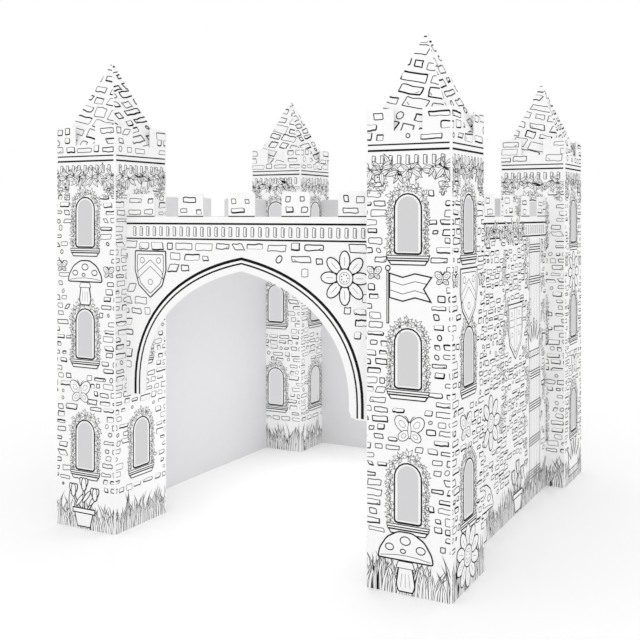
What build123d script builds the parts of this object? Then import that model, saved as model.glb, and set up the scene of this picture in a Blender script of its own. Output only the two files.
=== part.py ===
from build123d import *
import math
import os

os.makedirs("parts", exist_ok=True)

# A colouring playhouse castle of folded corrugated card, in millimetres.
# The origin is on the floor at the centre of the plan, +Z is up and the arch faces -Y.

# Card sheet and the play between pieces
card = 3.0
fold_radius = 3.5
slot_gap = 0.4
end_gap = 0.3

# Plan of the castle
tower_width = 208.0
tower_spacing = 948.0
front_setback = 44.0
back_setback = 54.0
side_setback = 60.0

# Tower sleeve
tower_crenel_height = 1029.0
tower_merlon_height = 51.0
tower_crenel_width = 70.0
glue_flap_width = 32.0

# Tower windows, three above each other on every face
window_width = 51.0
window_height = 123.0
window_sill_height = 163.0
window_pitch = 299.0
window_rows = 3

# Pyramid roof, which sits on the crenel flaps inside the parapet
roof_rise = 235.0
roof_play = 1.0
roof_tip = 4.0
roof_hem = 30.0
hip_radius = 1.6

# Curtain walls with their battlements
wall_crenel_height = 838.0
wall_merlon_height = 60.0
wall_crenel_width = 78.0
wall_end_merlon = 95.2
wall_crenel_count = 4
merlon_radius = 8.0

# Pointed arch of the front wall, which hangs clear of the floor.
# The pulls say how far the curve runs straight on from the springing and from the apex.
arch_panel_bottom = 364.0
arch_leg_width = 66.7
arch_apex_height = 702.0
arch_spring_height = 400.0
arch_haunch_pull = 0.6
arch_crown_pull = 0.5
arch_crown_slope = 11.4
foot_radius = 25.0

# Hooked tabs on the wall ends and their slots in the towers
tab_height = 55.0
tab_reach = 24.0
hook_drop = 15.0
tab_chamfer = 5.0
full_wall_tabs = (120.0, 430.0, 740.0)
arch_wall_tabs = (430.0, 740.0)

half_width = tower_width / 2
half_spacing = tower_spacing / 2
inner_half = half_width - card
merlon_top = tower_crenel_height + tower_merlon_height
wall_half = half_spacing - half_width - end_gap
neck = end_gap + card + slot_gap
wall_crenel_pitch = (2 * (wall_half - wall_end_merlon) - wall_crenel_width) / (wall_crenel_count - 1)
arch_span = 2 * (wall_half - arch_leg_width)
roof_half = inner_half - roof_play
roof_slope = (roof_half - roof_tip / 2) / roof_rise
roof_drop = card * math.sqrt(1 + roof_slope**2) / roof_slope


def sleeve_outline(side_x, side_y):
    """Square tube of card. Its glued corner looks across the castle and stays sharp."""
    square = Rectangle(tower_width, tower_width)
    folded = [v for v in square.vertices() if v.X * side_x > 0 or v.Y * side_y > 0]
    fillet(folded, fold_radius)
    Rectangle(2 * inner_half, 2 * inner_half, mode=Mode.SUBTRACT)


def window_outline():
    """The arch-topped windows of one face, one above the other."""
    straight = window_height - window_width / 2
    for row in range(window_rows):
        sill = window_sill_height + row * window_pitch
        with Locations((0, sill + straight / 2)):
            Rectangle(window_width, straight)
        with Locations((0, sill + straight)):
            Circle(window_width / 2)


def shelf_flaps():
    """The card of each crenel, folded inwards as a shelf for the roof."""
    reach = tower_merlon_height
    width = tower_crenel_width - 2 * slot_gap
    offset = inner_half - reach / 2
    height = tower_crenel_height - card / 2
    with Locations((0, offset, height), (0, -offset, height)):
        Box(width, reach, card)
    with Locations((offset, 0, height), (-offset, 0, height)):
        Box(reach, width, card)


def tower(label, side_x, side_y, wall_setback, tab_heights):
    """One tower sleeve. side_x and side_y say in which quarter of the plan it stands."""
    centre = (side_x * half_spacing, side_y * half_spacing, 0)
    across = Plane(centre, x_dir=(1, 0, 0), z_dir=(0, -1, 0))
    along = Plane(centre, x_dir=(0, 1, 0), z_dir=(1, 0, 0))
    flap_top = tower_crenel_height - card
    slot_height = tab_height + hook_drop + 2 * slot_gap
    slot_width = card + 2 * slot_gap
    slot_cut = 4 * card
    with BuildPart() as sleeve:
        with BuildSketch(Plane(centre)):
            sleeve_outline(side_x, side_y)
        extrude(amount=merlon_top)
        for plane in (across, along):
            with BuildSketch(plane):
                window_outline()
                with Locations((0, tower_crenel_height + tower_merlon_height / 2)):
                    Rectangle(tower_crenel_width, tower_merlon_height)
            extrude(amount=tower_width, both=True, mode=Mode.SUBTRACT)
        with Locations(centre):
            shelf_flaps()
            # The glue flap lies behind the face that the front or back wall meets.
            flap_x = -side_x * (inner_half - card / 2)
            flap_y = -side_y * (inner_half - glue_flap_width / 2)
            with Locations((flap_x, flap_y, flap_top / 2)):
                Box(card, glue_flap_width, flap_top)
            # Slots for the hooked tabs of the two walls that meet this tower.
            across_y = side_y * (half_width - wall_setback - card / 2)
            for height in tab_heights:
                with Locations((-side_x * half_width, across_y, height + slot_height / 2)):
                    Box(slot_cut, slot_width, slot_height, mode=Mode.SUBTRACT)
            along_x = side_x * (half_width - side_setback - card / 2)
            for height in full_wall_tabs:
                with Locations((along_x, -side_y * half_width, height + slot_height / 2)):
                    Box(slot_width, slot_cut, slot_height, mode=Mode.SUBTRACT)
    sleeve.part.label = label
    export_step(sleeve.part, "parts/" + label + ".step")
    return sleeve.part


def pyramid(x, y, layer, mode=Mode.ADD):
    """Pyramid under so many layers of roof card. Below the first layer lies the hem."""
    hem = card if layer else 0.0
    half = roof_half - roof_slope * (hem + layer * roof_drop)
    lean = math.degrees(math.atan(roof_slope))
    with BuildSketch(Plane((x, y, tower_crenel_height + hem))) as foot:
        Rectangle(2 * half, 2 * half)
    extrude(foot.sketch, amount=roof_rise - hem - layer * roof_drop, taper=lean, mode=mode)


def roof_flap(x, y, seam_x, seam_y):
    """Glue flap behind one face, along the hip where the folded sheet closes."""
    near = glue_flap_width / 2
    far = roof_half
    corners = ((near, near), (far, far), (far, far - glue_flap_width), (2 * near, 0))
    with BuildPart() as flap:
        pyramid(x, y, 1)
        pyramid(x, y, 2, Mode.SUBTRACT)
        with BuildSketch(Plane((x, y, tower_crenel_height))):
            Polygon(*[(seam_x * a, seam_y * b) for a, b in corners], align=None)
        extrude(amount=roof_rise, mode=Mode.INTERSECT)
    return flap.part


def roof(label, side_x, side_y):
    """One pyramid roof of a single folded sheet, with its hems turned in at the foot."""
    x = side_x * half_spacing
    y = side_y * half_spacing
    flap = roof_flap(x, y, -side_x, -side_y)
    opening = 2 * (roof_half - roof_hem)
    with BuildPart() as cap:
        pyramid(x, y, 0)
        hips = cap.edges().filter_by(lambda edge: edge.bounding_box().size.Z > roof_rise / 2)
        # The glued hip looks across the castle and stays sharp.
        folds = [e for e in hips if (e.center().X - x) * side_x > 0 or (e.center().Y - y) * side_y > 0]
        fillet(folds, hip_radius)
        pyramid(x, y, 1, Mode.SUBTRACT)
        with BuildSketch(Plane((x, y, tower_crenel_height))):
            Rectangle(opening, opening)
        extrude(amount=card, mode=Mode.SUBTRACT)
        add(flap)
    cap.part.label = label
    export_step(cap.part, "parts/" + label + ".step")
    return cap.part


def battlements(bottom):
    """Wall panel from its lower edge to the merlon tops, with rounded merlon corners."""
    top = wall_crenel_height + wall_merlon_height
    with Locations((0, (bottom + top) / 2)):
        Rectangle(2 * wall_half, top - bottom)
    first = -wall_crenel_pitch * (wall_crenel_count - 1) / 2
    for index in range(wall_crenel_count):
        with Locations((first + index * wall_crenel_pitch, top - wall_merlon_height / 2)):
            Rectangle(wall_crenel_width, wall_merlon_height, mode=Mode.SUBTRACT)


def hooked_tabs(heights):
    """Tabs on both ends of a wall. Each rests on the foot of its slot and hooks down behind it."""
    hook_start = wall_half + neck
    tab_end = hook_start + tab_reach
    for side in (-1, 1):
        for height in heights:
            with BuildLine() as edge:
                Polyline(
                    (side * (wall_half - card), height),
                    (side * hook_start, height),
                    (side * hook_start, height - hook_drop),
                    (side * tab_end, height - hook_drop),
                    (side * tab_end, height + tab_height),
                    (side * (wall_half - card), height + tab_height),
                    close=True,
                )
            make_face(edge.edges())


def arch_opening():
    """The pointed arch: upright jambs that curve in to a crown with a slight point."""
    half_span = arch_span / 2
    rise = arch_apex_height - arch_spring_height
    shoulder = arch_crown_pull * half_span
    fall = shoulder * math.tan(math.radians(arch_crown_slope))
    below = arch_panel_bottom - foot_radius
    for side in (-1, 1):
        with BuildLine() as half_arch:
            jamb = Polyline(
                (0, arch_apex_height),
                (0, below),
                (side * half_span, below),
                (side * half_span, arch_spring_height),
            )
            Bezier(
                jamb @ 1,
                (side * half_span, arch_spring_height + arch_haunch_pull * rise),
                (side * shoulder, arch_apex_height - fall),
                jamb @ 0,
            )
        make_face(half_arch.edges(), mode=Mode.SUBTRACT)


def wall(label, face, bottom, tab_heights, arched=False):
    """One curtain wall, drawn on the plane of its inner face and as thick as the card."""
    top = wall_crenel_height + wall_merlon_height
    tab_end = wall_half + neck + tab_reach
    with BuildPart() as panel:
        with BuildSketch(face) as outline:
            battlements(bottom)
            fillet([v for v in outline.vertices() if v.Y > top - card], merlon_radius)
            if arched:
                arch_opening()
                feet = [v for v in outline.vertices() if v.Y < bottom + card]
                foot_round = min(foot_radius, 0.9 * arch_leg_width)
                fillet([v for v in feet if abs(v.X) < arch_span / 2 + card], foot_round)
            hooked_tabs(tab_heights)
            chamfer([v for v in outline.vertices() if abs(v.X) > tab_end - card], tab_chamfer)
        extrude(amount=card)
    panel.part.label = label
    export_step(panel.part, "parts/" + label + ".step")
    return panel.part


pieces = []
for depth, side_y, setback, tabs in (
    ("front", -1, front_setback, arch_wall_tabs),
    ("back", 1, back_setback, full_wall_tabs),
):
    for hand, side_x in (("left", -1), ("right", 1)):
        pieces.append(tower(f"tower_{depth}_{hand}", side_x, side_y, setback, tabs))
        pieces.append(roof(f"roof_{depth}_{hand}", side_x, side_y))

castle_edge = half_spacing + half_width
front_face = Plane((0, card + front_setback - castle_edge, 0), x_dir=(1, 0, 0), z_dir=(0, -1, 0))
back_face = Plane((0, castle_edge - back_setback - card, 0), x_dir=(-1, 0, 0), z_dir=(0, 1, 0))
left_face = Plane((card + side_setback - castle_edge, 0, 0), x_dir=(0, -1, 0), z_dir=(-1, 0, 0))
right_face = Plane((castle_edge - side_setback - card, 0, 0), x_dir=(0, 1, 0), z_dir=(1, 0, 0))
pieces.append(wall("wall_front", front_face, arch_panel_bottom, arch_wall_tabs, arched=True))
pieces.append(wall("wall_back", back_face, 0, full_wall_tabs))
pieces.append(wall("wall_left", left_face, 0, full_wall_tabs))
pieces.append(wall("wall_right", right_face, 0, full_wall_tabs))

castle = Compound(children=pieces)
box = castle.bounding_box()
print("castle", [round(v, 1) for v in (box.size.X, box.size.Y, box.size.Z)])
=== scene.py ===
import math
import random

import bmesh
import bpy
from bmesh.types import BMFace, BMVert
from mathutils import Matrix, Vector, noise


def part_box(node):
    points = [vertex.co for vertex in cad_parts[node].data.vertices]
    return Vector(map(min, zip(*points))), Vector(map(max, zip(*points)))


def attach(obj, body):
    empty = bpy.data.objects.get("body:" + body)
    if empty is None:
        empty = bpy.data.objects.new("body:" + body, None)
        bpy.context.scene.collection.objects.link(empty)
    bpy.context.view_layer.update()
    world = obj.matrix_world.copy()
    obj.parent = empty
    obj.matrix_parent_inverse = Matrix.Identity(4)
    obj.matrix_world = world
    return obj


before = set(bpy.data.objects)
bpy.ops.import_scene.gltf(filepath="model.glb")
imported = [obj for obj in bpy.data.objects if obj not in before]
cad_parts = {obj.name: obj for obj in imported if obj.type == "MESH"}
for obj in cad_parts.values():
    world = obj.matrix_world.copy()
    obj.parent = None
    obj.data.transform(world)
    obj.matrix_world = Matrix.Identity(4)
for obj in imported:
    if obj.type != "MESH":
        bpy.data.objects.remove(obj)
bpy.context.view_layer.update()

MM = 0.001

# Die-cut card of every sleeve, roof and wall
# Corrugated board with upright flutes, white on the printed side and pale grey on the bare inside. The liners
# are matt and a little fibrous, and the flutes show as a faint washboard. All twelve sheets are cut from it.
FLUTE_PITCH = 7.6 * MM
CARD_FLUTES = 0.5
BLOTCHES, FIBRES = (38, 4), (900, 3)      # scale and detail
RELIEF_HEIGHT = 0.2 * MM
RELIEF_STRENGTH = 0.12
SHEET_ROUGHNESS = 0.7
CARD_SHINE = 0.25
PRINTED_SIDE = (0.905, 0.905, 0.902, 1), (0.93, 0.93, 0.926, 1)
BARE_SIDE = (0.71, 0.71, 0.72, 1), (0.74, 0.74, 0.75, 1)
# The back wall's bare inside is the same card in a darker grey: painted shade for its place deep in the
# courtyard.
BACK_WALL_PAINTED_SHADE = (0.6674, 0.6674, 0.6768, 1), (0.6956, 0.6956, 0.705, 1)
INWARD_BELOW = -0.01


def link_value(tree, socket, value):
    """Joins a node's output to a socket, or sets the socket when the value is a plain one."""
    if isinstance(value, bpy.types.NodeSocket):
        tree.links.new(value, socket)
    else:
        socket.default_value = value


def math_node(tree, operation, first, second, kind="ShaderNodeMath"):
    """A sum on two numbers, or on two vectors when the kind is ShaderNodeVectorMath."""
    step = tree.nodes.new(kind)
    step.operation = operation
    link_value(tree, step.inputs[0], first)
    link_value(tree, step.inputs[1], second)
    return step.outputs["Vector" if kind != "ShaderNodeMath" and operation != "DOT_PRODUCT" else "Value"]


def mix_colours(tree, share, first, second):
    """A colour between two others. The share is that of the second."""
    mix = tree.nodes.new("ShaderNodeMix")
    mix.data_type = "RGBA"
    link_value(tree, mix.inputs["Factor"], share)
    link_value(tree, mix.inputs["A"], first)
    link_value(tree, mix.inputs["B"], second)
    return mix.outputs["Result"]


def new_finish(name, roughness, shine):
    """A material, its node tree and its shader."""
    finish = bpy.data.materials.new(name)
    finish.use_nodes = True
    shader = finish.node_tree.nodes["Principled BSDF"]
    shader.inputs["Roughness"].default_value = roughness
    shader.inputs["Specular IOR Level"].default_value = shine
    return finish, finish.node_tree, shader


def new_group(name, given, results):
    """A node group with its sockets, given as names and types, and the two nodes that hold them."""
    tree = bpy.data.node_groups.new(name, "ShaderNodeTree")
    for side, sockets in (("INPUT", given), ("OUTPUT", results)):
        for socket, kind in sockets.items():
            tree.interface.new_socket(socket, in_out=side, socket_type="NodeSocket" + kind)
    return tree, tree.nodes.new("NodeGroupInput"), tree.nodes.new("NodeGroupOutput")


def liner_group():
    """Blotches and height of a paper liner: soft blotches, fibres, and the flutes below it."""
    tree, given, result = new_group("paper_liner", {"Flutes": "Float"}, {"Mask": "Float", "Height": "Float"})
    place = tree.nodes.new("ShaderNodeTexCoord").outputs["Object"]
    blotches = tree.nodes.new("ShaderNodeTexNoise")
    fibres = tree.nodes.new("ShaderNodeTexNoise")
    for grain, (scale, detail) in ((blotches, BLOTCHES), (fibres, FIBRES)):
        grain.inputs["Scale"].default_value = scale
        grain.inputs["Detail"].default_value = detail
        tree.links.new(place, grain.inputs["Vector"])
    tree.links.new(blotches.outputs["Fac"], result.inputs["Mask"])
    axes = tree.nodes.new("ShaderNodeSeparateXYZ")
    tree.links.new(place, axes.inputs[0])
    along = math_node(tree, "ADD", axes.outputs["X"], axes.outputs["Y"])
    wave = math_node(tree, "SINE", math_node(tree, "MULTIPLY", along, 2 * math.pi / FLUTE_PITCH), 0.0)
    washboard = math_node(tree, "MULTIPLY", wave, given.outputs["Flutes"])
    tree.links.new(math_node(tree, "ADD", washboard, fibres.outputs["Fac"]), result.inputs["Height"])
    return tree


def bare_side_group():
    """A mask of 1 on the faces of a sheet that look towards the upright axis through Centre."""
    tree, given, result = new_group("bare_side", {"Centre": "Vector"}, {"Mask": "Float"})
    surface = tree.nodes.new("ShaderNodeTexCoord").outputs
    vectors = "ShaderNodeVectorMath"
    outward = math_node(tree, "SUBTRACT", surface["Object"], given.outputs["Centre"], vectors)
    level = math_node(tree, "MULTIPLY", outward, (1, 1, 0), vectors)
    facing = math_node(tree, "DOT_PRODUCT", level, surface["Normal"], vectors)
    tree.links.new(math_node(tree, "LESS_THAN", facing, INWARD_BELOW), result.inputs["Mask"])
    return tree


paper_liner = liner_group()
bare_side = bare_side_group()


def sheet_finish(name, printed, flutes=CARD_FLUTES, shine=CARD_SHINE, bare=None, centre=None):
    """A matt sheet that runs from dark to light in blotches. Bare colours lie on the side to the centre."""
    finish, tree, shader = new_finish(name, SHEET_ROUGHNESS, shine)
    liner = tree.nodes.new("ShaderNodeGroup")
    liner.node_tree = paper_liner
    liner.inputs["Flutes"].default_value = flutes
    colour = mix_colours(tree, liner.outputs["Mask"], *printed)
    if bare:
        side = tree.nodes.new("ShaderNodeGroup")
        side.node_tree = bare_side
        side.inputs["Centre"].default_value = centre
        inner = mix_colours(tree, liner.outputs["Mask"], *bare)
        colour = mix_colours(tree, side.outputs["Mask"], colour, inner)
    bump = tree.nodes.new("ShaderNodeBump")
    bump.inputs["Strength"].default_value = RELIEF_STRENGTH
    bump.inputs["Distance"].default_value = RELIEF_HEIGHT
    tree.links.new(colour, shader.inputs["Base Color"])
    tree.links.new(liner.outputs["Height"], bump.inputs["Height"])
    tree.links.new(bump.outputs["Normal"], shader.inputs["Normal"])
    return finish


for name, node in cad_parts.items():
    low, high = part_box(name)
    centre = Vector((0, 0, 0)) if name.startswith("wall") else (low + high) / 2
    # The back wall's bare side takes the darker grey of painted shade.
    bare = BACK_WALL_PAINTED_SHADE if name == "wall_back" else BARE_SIDE
    node.material_slots[0].material = sheet_finish("card_" + name, PRINTED_SIDE, bare=bare, centre=centre)

# Printing on the tower sleeves
# Black line drawing on the outer face of each sleeve: loose stones, ivy round the windows and grass at the
# foot. The card is printed flat and then cut and folded, so the drawing stops at every fold and cut edge.
# All sizes are in millimetres. A mark with a higher level hides those below it.
INK_GRAIN = 0.2, 0.05
BLACK_INK = (0.006, 0.006, 0.006, 1), (0.015, 0.015, 0.015, 1)
GREY_INK = (0.1, 0.1, 0.1, 1), (0.16, 0.16, 0.16, 1)
CARD, BLACK, GREY = range(3)
CARD_SINK = 0.1
WAVE_CUTS = (8, 25, 1), (25, 400, 3)
WAVE_LENGTH = 7
WAVE_ACROSS, WAVE_UP = 1.4, 2.2
SMALL_ROUNDING = 2.5
SHORTEST_EDGE = 0.3
STONE_LEVEL, SILL_LEVEL, BLADE_LEVEL, LEAF_LEVEL, EMBLEM_LEVEL = 0.12, 0.2, 0.3, 0.5, 0.75
LEVEL_STEP = 0.004
WAVE_SEED = 7

noise.seed_set(WAVE_SEED)
print_finishes = [sheet_finish("white_card", PRINTED_SIDE), sheet_finish("black_ink", BLACK_INK, *INK_GRAIN),
                  sheet_finish("grey_ink", GREY_INK, *INK_GRAIN)]


def crossed_edges(face):
    """Sides of an inset face that were turned round, as the outline is wider than the corner they cut."""
    for loop in face.loops:
        within = loop.link_loop_radial_next
        outer = within.link_loop_next.link_loop_next
        side = within.link_loop_next.vert.co - within.vert.co
        if len(within.face.verts) == 4 and side.dot(outer.link_loop_next.vert.co - outer.vert.co) > 0:
            yield loop.edge


class Drawing:
    """Marks on one flat face, x to the right and y up. Along is where the face starts on the flat sheet."""

    def __init__(self, seed, along=0.0, wave=1.0):
        self.along = along
        self.wave = wave
        self.sheet = bmesh.new()
        self.line = self.sheet.faces.layers.float.new("line")
        self.ink = self.sheet.faces.layers.int.new("ink")
        self.bold = self.sheet.faces.layers.float.new("bold")
        self.wavy = self.sheet.faces.layers.int.new("wavy")
        self.rounding = self.sheet.verts.layers.float.new("rounding")
        self.chance = random.Random(seed)
        self.trims = []

    def set_pen(self, face, line, ink):
        face[self.line] = line
        face[self.ink] = ink

    def field(self, corners, level, line, ink=BLACK, rounding=0.0, bold=0.0, wavy=False):
        """A white shape with an ink line round it, which is bolder on one side by the size of bold."""
        verts = [self.sheet.verts.new((x, y, level)) for x, y in corners]
        for vert in verts:
            vert[self.rounding] = rounding
        face = self.sheet.faces.new(verts)
        self.set_pen(face, line, ink)
        face[self.bold] = bold
        face[self.wavy] = wavy

    def disc(self, centre, radius, level, line, ink=BLACK, segments=14, stretch=(1, 1), turn=0.0):
        """A round, oval or, with few segments, pointed shape. A line of 0 fills it with ink."""
        place = Matrix.Translation((*centre, level)) @ Matrix.Rotation(turn, 4, "Z")
        place = place @ Matrix.Diagonal((radius * stretch[0], radius * stretch[1], 1, 1))
        made = bmesh.ops.create_circle(self.sheet, cap_ends=True, segments=segments, radius=1, matrix=place)
        self.set_pen(made["verts"][0].link_faces[0], line, ink)

    def stroke(self, points, width, level, ink=BLACK):
        """A pen line through the points: one long edge, extruded sideways by the width of the pen."""
        points = [Vector(point) for point in points]
        across = {}
        for index, point in enumerate(points):
            ahead = points[min(index + 1, len(points) - 1)] - points[max(index - 1, 0)]
            side = Vector((-ahead.y, ahead.x, 0)).normalized() * width
            vert = self.sheet.verts.new((point.x - side.x / 2, point.y - side.y / 2, level))
            across[vert] = side
        rail = list(across)
        edges = [self.sheet.edges.new(pair) for pair in zip(rail, rail[1:])]
        for item in bmesh.ops.extrude_edge_only(self.sheet, edges=edges)["geom"]:
            if isinstance(item, BMVert):
                beside = [edge.other_vert(item) for edge in item.link_edges]
                item.co += next(across[vert] for vert in beside if vert in across)
            if isinstance(item, BMFace):
                self.set_pen(item, 0.0, ink)

    def trim(self, place, outward):
        """Everything on the outward side of this line is cut away, as it is at a fold."""
        self.trims.append((place, outward))

    def trim_sides(self, half_width):
        """Cuts the drawing off at the same distance on the left and on the right."""
        for side in (-1, 1):
            self.trim((side * half_width, 0), (side, 0))

    def wave_sides(self):
        """Divides the long sides of the wavy marks and moves the new points off the straight line."""
        sides = dict.fromkeys(edge for face in self.sheet.faces if face[self.wavy] for edge in face.edges)
        for shortest, longest, cuts in WAVE_CUTS:
            edges = [edge for edge in sides if shortest < edge.calc_length() <= longest]
            for item in bmesh.ops.bisect_edges(self.sheet, edges=edges, cuts=cuts)["geom_split"]:
                if isinstance(item, BMVert):
                    item[self.rounding] = 0.0
                    place = Vector((item.co.x + self.along, item.co.y, 0)) / (WAVE_LENGTH * self.wave)
                    shift = self.wave * noise.noise_vector(place)
                    item.co += Vector((WAVE_ACROSS * shift.x, WAVE_UP * shift.y, 0))

    def round_corners(self):
        """Rounds the corners that ask for it, and takes out the sides that are too short for a pen line."""
        for rounding in sorted({vert[self.rounding] for vert in self.sheet.verts} - {0.0}):
            corners = [vert for vert in self.sheet.verts if vert[self.rounding] == rounding]
            bmesh.ops.bevel(self.sheet, geom=corners, offset=rounding, offset_type="OFFSET",
                            segments=1 if rounding < SMALL_ROUNDING else 3, profile=0.5, affect="VERTICES",
                            clamp_overlap=True, material=-1)
        bmesh.ops.dissolve_degenerate(self.sheet, dist=SHORTEST_EDGE, edges=self.sheet.edges[:])

    def ink_lines(self):
        """Fills the pen strokes, and parts each field into its outline in ink and its white middle."""
        bmesh.ops.recalc_face_normals(self.sheet, faces=self.sheet.faces[:])
        for face in self.sheet.faces:
            face.normal_update()
            if face.normal.z < 0:
                face.normal_flip()
            if face[self.line] == 0:
                face.material_index = face[self.ink]
        for line in sorted({face[self.line] for face in self.sheet.faces} - {0.0}):
            fields = [face for face in self.sheet.faces if face[self.line] == line]
            inset = bmesh.ops.inset_individual(self.sheet, faces=fields, thickness=line, use_even_offset=True)
            for ring in inset["faces"]:
                ring.material_index = ring[self.ink]
            crossed = [edge for face in fields for edge in crossed_edges(face)]
            bmesh.ops.collapse(self.sheet, edges=crossed, uvs=False)
            for face in fields:
                bold = face[self.bold] if face.is_valid else 0.0
                if bold:
                    bmesh.ops.translate(self.sheet, verts=face.verts, vec=(-0.5 * bold, bold, 0))

    def print_on(self, piece, matrix):
        """Finishes and trims the marks, extrudes them down into the card and adds them to the piece."""
        sheet = self.sheet
        self.wave_sides()
        self.round_corners()
        self.ink_lines()
        for place, outward in self.trims:
            everything = sheet.verts[:] + sheet.edges[:] + sheet.faces[:]
            bmesh.ops.bisect_plane(sheet, geom=everything, plane_co=(*place, 0), plane_no=(*outward, 0),
                                   clear_outer=True)
        made = bmesh.ops.extrude_face_region(sheet, geom=sheet.faces[:], use_keep_orig=True)["geom"]
        for item in made:
            if isinstance(item, BMVert):
                item.co.z = -CARD_SINK
        backs = [item for item in made if isinstance(item, BMFace)]
        bmesh.ops.dissolve_faces(sheet, faces=backs, use_verts=False)
        bmesh.ops.recalc_face_normals(sheet, faces=sheet.faces[:])
        flat = bpy.data.meshes.new("flat")
        sheet.to_mesh(flat)
        flat.transform(matrix @ Matrix.Diagonal((MM, MM, MM, 1)))
        piece.from_mesh(flat)
        bpy.data.meshes.remove(flat)
        sheet.free()


# Stones, in thin lines on an inner face and bolder ones on an outer face. One draw from 0 to 1 gives the kind
# of a stone, so these bounds are shares of all the stones.
INNER_PENS = (1.6, 2.0, 2.0, 2.4)
FRONT_PENS = (1.9, 2.3, 2.3, 2.8)
SIDE_PENS = (2.2, 2.6, 2.6, 3.2)
PEBBLE_BELOW = 0.09
TALL_ABOVE, ROUNDED_BELOW = 0.24, 0.34
SKEWED_ABOVE = 0.93
LONG_STONE = 18
TALL_SCALE = 1.2
LEAN, SKEW = 0.12, 0.25
BOLD_SHARE = 0.45
BOLD_SIDES = (0.8, 1.4, -1.2)
ROUND_CORNER, TIGHT_CORNER = 4.0, 1.8
CRACK_SHARE = 0.2
CRACKED_STONE = 26
STONE_WIDTHS = (14, 19, 24, 30, 35, 40)
STONE_HEIGHTS = (9.5, 16)
STONE_GAPS = (5, 11)


def draw_stone(drawing, x, y, width, height, pens=FRONT_PENS, bold_share=BOLD_SHARE):
    """One loose stone with wavy sides. Some have a bold side, some a crack, and some are pebbles."""
    chance = drawing.chance
    kind = chance.random()
    line = chance.choice(pens)
    ink = chance.choice((BLACK, BLACK, BLACK, GREY))
    if kind < PEBBLE_BELOW:
        drawing.disc((x, y), 0.5 * min(width, height), STONE_LEVEL, line, ink, 9,
                     (chance.uniform(0.85, 1.25), 0.9), chance.uniform(0, 3))
        return
    lean = chance.uniform(-LEAN, LEAN) * height
    if kind > SKEWED_ABOVE:
        lean += chance.choice((-SKEW, SKEW)) * height
    tall = TALL_ABOVE < kind < ROUNDED_BELOW and width > LONG_STONE
    if tall:
        height *= TALL_SCALE
        line, ink = pens[0], GREY
    left, right = x - width / 2, x + width / 2
    low, high = y - height / 2, y + height / 2
    corners = [(left - lean, low + chance.uniform(-0.8, 1)), (right - lean, low + chance.uniform(-0.8, 1)),
               (right + lean, high + chance.uniform(-1, 0.8)), (left + lean, high + chance.uniform(-1, 0.8))]
    bold = chance.choice(BOLD_SIDES) if chance.random() < bold_share and not tall else 0.0
    if bold:
        ink = BLACK
    rounding = ROUND_CORNER if kind < ROUNDED_BELOW and width > LONG_STONE else TIGHT_CORNER
    drawing.field(corners, STONE_LEVEL, line, ink, rounding, bold, True)
    if chance.random() < CRACK_SHARE and width > CRACKED_STONE:
        side = chance.choice((-1, 1))
        crack = ((x + side * 0.38 * width, y - 0.05 * height), (x + side * 0.24 * width, y - 0.3 * height))
        drawing.stroke(crack, 1.6, STONE_LEVEL + LEVEL_STEP, ink)


def scatter_stones(chance, length, rows, scale=1.0):
    """Loose stones in uneven rows: middles, sizes and a seed each, so that a folded one matches itself."""
    stones = []
    for row in rows:
        x = chance.uniform(-30, 10)
        while x < length:
            width = scale * chance.choice(STONE_WIDTHS)
            height = min(width, scale * chance.uniform(*STONE_HEIGHTS))
            y = row + scale * chance.uniform(-2, 2)
            stones.append((x + width / 2, y, width, height, chance.random()))
            x += width + scale * chance.uniform(*STONE_GAPS)
    return stones


# Ivy leaves, by their run along the midrib and their reach to the side.
LEAF_SHAPE = ((0, 0), (0.28, 0.19), (0.62, 0.18), (1, 0), (0.62, -0.18), (0.28, -0.19))
RIB_START, RIB_END = 0.12, 0.75
RIB_PEN = 0.65
SMALL_LEAF_BEND, SMALL_LEAF_REACH = 0.42, 0.24
THIN_PEN = 1.1


def both_sides(right):
    """The points of a symmetric shape, from those of its right side."""
    return [*right] + [(-x, y) for x, y in reversed(right) if x]


def draw_leaf(drawing, x, y, length, turn, level, line, ink=GREY, breadth=1.0):
    """One pointed ivy leaf with its midrib, growing from x, y."""
    ahead = Vector((-math.sin(turn), math.cos(turn)))
    aside = Vector((ahead.y, -ahead.x))
    start = Vector((x, y))
    corners = [start + length * (run * ahead + breadth * reach * aside) for run, reach in LEAF_SHAPE]
    drawing.field(corners, level, line, ink)
    rib = start + RIB_START * length * ahead, start + RIB_END * length * ahead
    drawing.stroke(rib, RIB_PEN * line, level + LEVEL_STEP / 2, ink)


def draw_sprig(drawing, x, y, length, turn, spread, leaves, level):
    """A fan of small plain leaves from one point."""
    start = Vector((x, y))
    for index in range(leaves):
        size = length * drawing.chance.uniform(0.75, 1.15)
        way = turn + spread * (index / (leaves - 1) - 0.5) + drawing.chance.uniform(-0.25, 0.25)
        ahead = size * Vector((-math.sin(way), math.cos(way)))
        aside = SMALL_LEAF_REACH * Vector((ahead.y, -ahead.x))
        corners = [start, start + SMALL_LEAF_BEND * ahead + aside, start + ahead,
                   start + SMALL_LEAF_BEND * ahead - aside]
        drawing.field(corners, level + index * LEVEL_STEP, THIN_PEN, GREY)


# Windows: a printed frame just outside the cut opening, a stepped ledge below it, and ivy round it. A slab of
# the ledge is its half width and height at the top, the same at the bottom, and its pen.
WINDOW_SILLS = (157, 456, 755)
WINDOW_RADIUS = 34
WINDOW_HEIGHT = 136
WINDOW_STRAIGHT = WINDOW_HEIGHT - WINDOW_RADIUS
FRAME_INSET = 1.2
FRAME_PEN, FRAME_FOOT_PEN = 3.1, 4.0
FRAME_CORNER = ((8, 0), (3, 2), (FRAME_INSET, 7))
FRAME_LEVEL = LEAF_LEVEL + 0.2
LEDGE_LEVEL = LEAF_LEVEL + 0.21
LEDGE_SLABS = (53, -2, 51, -9, 1.8), (52, -8, 50, -14, 1.8), (50, -13, 42, -24, 2.6)
SPRIG_OFFSET, SPRIG_COUNT, SPRIG_SPREAD, SPRIG_LEAVES = 8, 20, 4.2, 6
CROWN_LEAF_OFFSET, CROWN_LEAF_COUNT = 3, 16
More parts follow.
